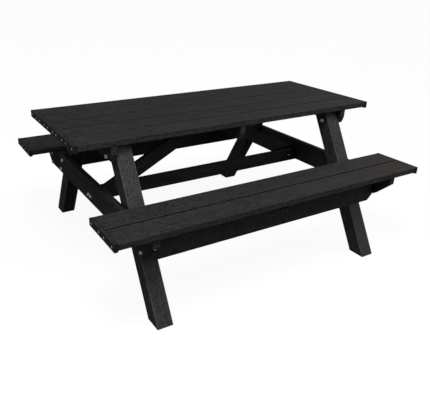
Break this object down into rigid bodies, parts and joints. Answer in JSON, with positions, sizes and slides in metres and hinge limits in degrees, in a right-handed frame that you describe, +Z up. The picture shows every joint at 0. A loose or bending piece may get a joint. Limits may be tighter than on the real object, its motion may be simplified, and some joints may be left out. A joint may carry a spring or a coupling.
{
  "type": "picnic table",
  "caption": "Rectangular picnic table of dark plastic lumber with a bench along each long side, on leaning posts tied by cross beams, a stretcher and diagonal braces.",
  "frame": {"origin": "on the ground, below the middle of the table top", "axes": "+X along the table and its benches, +Y from the front bench to the rear bench, +Z up"},
  "size_m": [1.8, 1.493, 0.78],
  "materials": {
    "plank_lumber": "matte charcoal recycled plastic with a faint lengthwise grain",
    "board_lumber": "matte charcoal recycled plastic, slightly rough",
    "post_lumber": "matte charcoal recycled plastic with a pitted, mottled skin",
    "stainless_steel": "plain stainless steel fasteners"
  },
  "bodies": {
    "root": {"top_plank_1": "plank_lumber", "top_plank_2": "plank_lumber", "top_plank_3": "plank_lumber", "top_plank_4": "plank_lumber", "top_plank_5": "plank_lumber", "top_end_board_left": "board_lumber", "top_end_board_right": "board_lumber", "top_batten_left": "board_lumber", "top_batten_middle": "board_lumber", "top_batten_right": "board_lumber", "bench_beam_left": "board_lumber", "bench_beam_right": "board_lumber", "centre_stretcher": "board_lumber", "brace_right": "board_lumber", "brace_left": "board_lumber", "front_bench_plank_inner": "plank_lumber", "front_bench_plank_outer": "plank_lumber", "front_bench_end_board_left": "board_lumber", "front_bench_end_board_right": "board_lumber", "front_bench_rail": "board_lumber", "front_bench_cleat": "board_lumber", "rear_bench_plank_inner": "plank_lumber", "rear_bench_plank_outer": "plank_lumber", "rear_bench_end_board_left": "board_lumber", "rear_bench_end_board_right": "board_lumber", "rear_bench_rail": "board_lumber", "rear_bench_cleat": "board_lumber", "leg_rear_right": "post_lumber", "leg_rear_left": "post_lumber", "leg_front_right": "post_lumber", "leg_front_left": "post_lumber", "leg_beam_bolts": "stainless_steel", "leg_batten_bolts": "stainless_steel", "leg_bolt_washers": "stainless_steel", "leg_bolt_nuts": "stainless_steel", "bench_rail_screws": "stainless_steel", "stretcher_screws": "stainless_steel", "brace_top_screws": "stainless_steel", "coach_screw_washers": "stainless_steel", "brace_foot_screws": "stainless_steel", "top_end_screws": "stainless_steel", "bench_end_screws": "stainless_steel", "top_plank_screws": "stainless_steel", "bench_plank_screws": "stainless_steel"}
  },
  "joints": []
}
